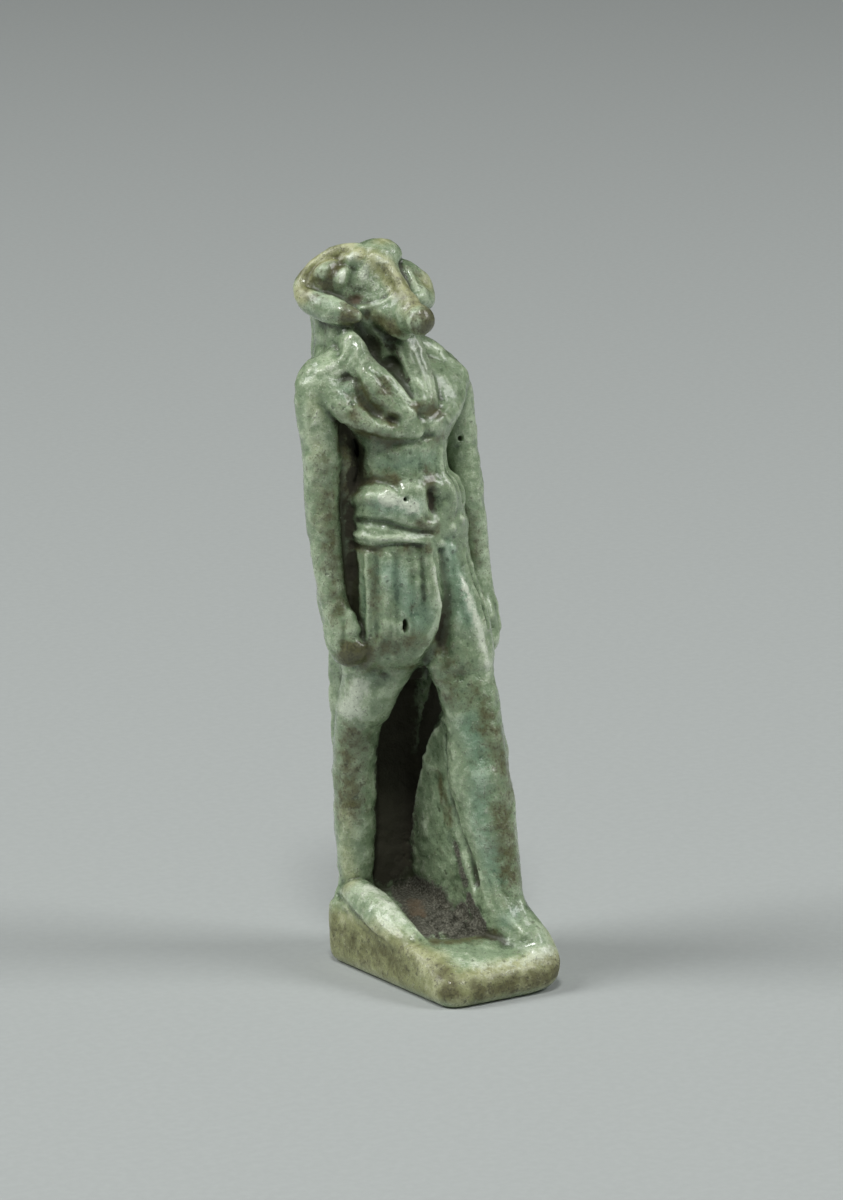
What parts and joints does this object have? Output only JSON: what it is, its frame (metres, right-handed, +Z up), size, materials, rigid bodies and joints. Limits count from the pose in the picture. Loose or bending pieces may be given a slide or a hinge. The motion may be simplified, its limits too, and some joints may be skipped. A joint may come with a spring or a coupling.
{
  "type": "deity amulet",
  "caption": "Small green faience amulet of a striding ram-headed god in wig and pleated kilt, with a back pillar, on a low rounded base.",
  "frame": {"origin": "middle of the flat underside of the base", "axes": "+Z up, the figure faces -Y, and its own left side is +X"},
  "size_m": [0.0107, 0.0139, 0.0384],
  "materials": {
    "faience": "worn pale green to turquoise glaze with brown and olive mottling, dark pits and soil left in the hollows"
  },
  "bodies": {
    "root": {"ram_headed_amulet": "faience"}
  },
  "joints": []
}
